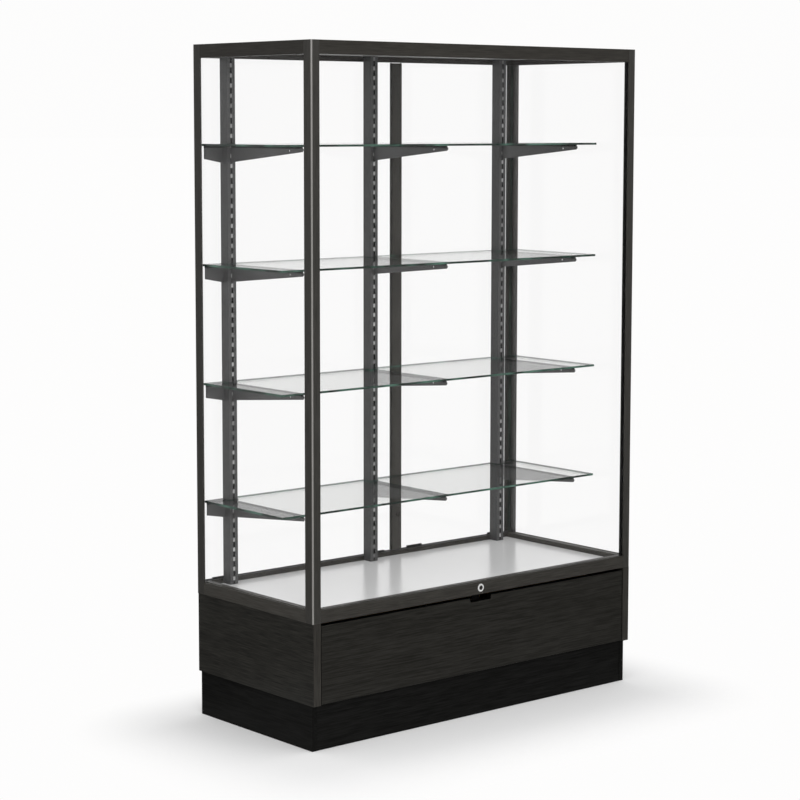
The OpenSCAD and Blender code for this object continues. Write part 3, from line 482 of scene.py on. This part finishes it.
# ---------------------------------------------------------------- bracket edging
# A black vinyl cap is pressed along the top edge of each bracket and side arm, so that the shelves don't
# lie on steel. It is moulded with rounded top edges and a groove below that grips the plate.
def black_part(name, light, dark, rough):
    """Moulded black: a faint mottle about 4 mm across from the mould."""
    material, tree, out = new_material(name)
    where = add(tree, "ShaderNodeTexCoord")
    mottle = add(tree, "ShaderNodeTexNoise", {"Scale": 250.0, "Detail": 3.0}, {"Vector": where.outputs["Object"]})
    tone = add(tree, "ShaderNodeMix", {}, {"Factor": mottle.outputs["Fac"]}, data_type="RGBA")
    tone.inputs["A"].default_value = hex_colour(dark)
    tone.inputs["B"].default_value = hex_colour(light)
    surface = add(tree, "ShaderNodeBsdfPrincipled", {"Roughness": rough, "Specular IOR Level": 0.2},
                  {"Base Color": tone.outputs["Result"]})
    tree.links.new(surface.outputs[0], out.inputs["Surface"])
    return material


def edging(start, end):
    """One cap, between two corners: a bar with rounded top edges and a groove below."""
    bpy.ops.object.select_all(action="DESELECT")
    bpy.ops.mesh.primitive_cube_add(size=1.0, location=(Vector(start) + Vector(end)) / 2)
    cap = bpy.context.object
    cap.scale = Vector(end) - Vector(start)
    bpy.ops.object.transform_apply(location=True, rotation=True, scale=True)
    for face in cap.data.polygons:
        face.select = face.normal.z < -0.9
    bpy.ops.object.mode_set(mode="EDIT")
    bpy.ops.mesh.select_mode(type="FACE")
    bpy.ops.mesh.inset(thickness=0.0009)
    bpy.ops.mesh.extrude_region_move(TRANSFORM_OT_translate={"value": (0.0, 0.0, 0.003)})
    bpy.ops.mesh.select_all(action="DESELECT")
    bpy.ops.mesh.select_mode(type="EDGE")
    bpy.ops.object.mode_set(mode="OBJECT")
    for edge in cap.data.edges:
        edge.select = all(cap.data.vertices[v].co.z > end[2] - 0.0001 for v in edge.vertices)
    bpy.ops.object.mode_set(mode="EDIT")
    bpy.ops.mesh.bevel(offset=0.0008, segments=2, affect="EDGES")
    bpy.ops.object.mode_set(mode="OBJECT")
    bpy.ops.object.shade_smooth_by_angle(angle=math.radians(35))
    return cap


cap_wide = 0.005
cap_down = 0.003
bracket_low, bracket_high = (Vector(c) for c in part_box("middle_brackets"))
arm_low, arm_high = (Vector(c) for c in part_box("left_brackets"))
plate = bracket_high.x - bracket_low.x
caps = []
for level in (1, 2, 3, 4):
    glass_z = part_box(f"shelf_{level}_left")[0][2]
    plate_z = glass_z - (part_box("shelf_1_left")[0][2] - bracket_high.z)
    for standard in ("left_standard", "middle_standard", "right_standard"):
        x = middle_of(standard).x
        caps.append(edging((x - cap_wide / 2, bracket_low.y + 0.005, plate_z - cap_down),
                           (x + cap_wide / 2, standard_low.y - 0.0015, glass_z)))
    arm_y = arm_high.y - plate / 2
    for side in (-1, 1):
        ends = sorted((side * (-arm_low.x - 0.0005), side * (middle_of("right_standard").x + 0.0155)))
        caps.append(edging((ends[0], arm_y - cap_wide / 2, plate_z - cap_down),
                           (ends[1], arm_y + cap_wide / 2, glass_z)))
bpy.ops.object.select_all(action="DESELECT")
for cap in caps:
    cap.select_set(True)
bpy.context.view_layer.objects.active = caps[0]
bpy.ops.object.join()
bracket_caps = bpy.context.object
bracket_caps.name = "bracket_caps"
bracket_caps.data.materials.append(black_part("moulded black vinyl", "202020", "161616", 0.5))
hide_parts("shelf_cushions")
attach(bracket_caps, "cabinet")


# ---------------------------------------------------------------- locks and metal fittings
# Chromed die-cast locks with a rolled ring, their pale colour partly a painted reflection; zinc-plated runners,
# feet and screws; a strike behind the notch, black as painted shade; dark anodised aluminium door tracks.
def metal(name, light, dark, rough, grain_size, bare=1.0):
    """Bare metal: fine drawn or rolled streaks that vary colour and roughness a little."""
    material, tree, out = new_material(name)
    where = add(tree, "ShaderNodeTexCoord")
    laid = add(tree, "ShaderNodeMapping", {"Scale": (1 / grain_size, 0.05 / grain_size, 1 / grain_size)},
               {"Vector": where.outputs["Object"]})
    streaks = add(tree, "ShaderNodeTexNoise", {"Scale": 1.0, "Detail": 3.0}, {"Vector": laid.outputs[0]})
    tone = add(tree, "ShaderNodeMix", {}, {"Factor": streaks.outputs["Fac"]}, data_type="RGBA")
    tone.inputs["A"].default_value = hex_colour(dark)
    tone.inputs["B"].default_value = hex_colour(light)
    worn = add(tree, "ShaderNodeMapRange", {"To Min": rough * 0.8, "To Max": rough * 1.2},
               {"Value": streaks.outputs["Fac"]})
    surface = add(tree, "ShaderNodeBsdfPrincipled", {"Metallic": bare},
                  {"Base Color": tone.outputs["Result"], "Roughness": worn.outputs["Result"]})
    tree.links.new(surface.outputs[0], out.inputs["Surface"])
    return material


zinc = metal("zinc-plated steel", "C9CACC", "B2B4B7", 0.34, 0.0015)
finish_with(zinc, "levelling_feet", "cleat_screws", "cabinet_runners", "middle_runners",
            "drawer_runners", "lock_cam")
# The chrome is only partly metallic: its near-white colour is partly a painted reflection.
chrome = metal("satin chromed die casting", "F8F8F7", "ECECEB", 0.3, 0.003, 0.3)
finish_with(chrome, "lock_barrel")
finish_with(metal("worn nickel", "8A8884", "6E6C69", 0.3, 0.002), "lock_plug")
finish_with(metal("blackened bronze", "38342F", "282521", 0.4, 0.002, 0.5), "door_lock")
anodised = metal("dark anodised aluminium", "5A5A5C", "4A4A4C", 0.32, 0.002)
finish_with(anodised, "door_tracks")


# ---------------------------------------------------------------- boards inside
# The drawer box, deck cleats and corner blocks are sanded and lacquered birch plywood.
# The cut edges keep a small sanded round.
material, tree, out = new_material("lacquered birch plywood")
where = add(tree, "ShaderNodeTexCoord")
laid = add(tree, "ShaderNodeMapping", {"Scale": (12.0, 12.0, 140.0)}, {"Vector": where.outputs["Object"]})
rings = add(tree, "ShaderNodeTexNoise", {"Scale": 1.0, "Detail": 4.0, "Distortion": 0.8}, {"Vector": laid.outputs[0]})
tone = add(tree, "ShaderNodeMix", {}, {"Factor": rings.outputs["Fac"]}, data_type="RGBA")
tone.inputs["A"].default_value = hex_colour("B99268")
tone.inputs["B"].default_value = hex_colour("D9BC93")
board = add(tree, "ShaderNodeBsdfPrincipled", {"Roughness": 0.5}, {"Base Color": tone.outputs["Result"]})
tree.links.new(board.outputs[0], out.inputs["Surface"])
finish_with(material, "drawer_sides", "drawer_back", "deck_cleats", "corner_blocks")
break_edges(0.0008, "drawer_sides", "drawer_back", "deck_cleats", "corner_blocks")


# ---------------------------------------------------------------- plastic, rubber and the strike
# Moulded nylon shoes and plugs and extruded rubber beads, all black, and the strike behind the notch, black as
# painted shade: they vary only by how much they shine.
finish_with(black_part("moulded black nylon", "1C1C1C", "131313", 0.45),
            "left_door_shoes", "right_door_shoes", "standard_plugs")
# The strike is black as painted shade in the hollow behind the notch.
finish_with(black_part("steel strike, black as painted shade", "070707", "030303", 0.6), "drawer_strike")
finish_with(black_part("extruded black rubber", "121212", "0B0B0B", 0.7), "glazing_beads")
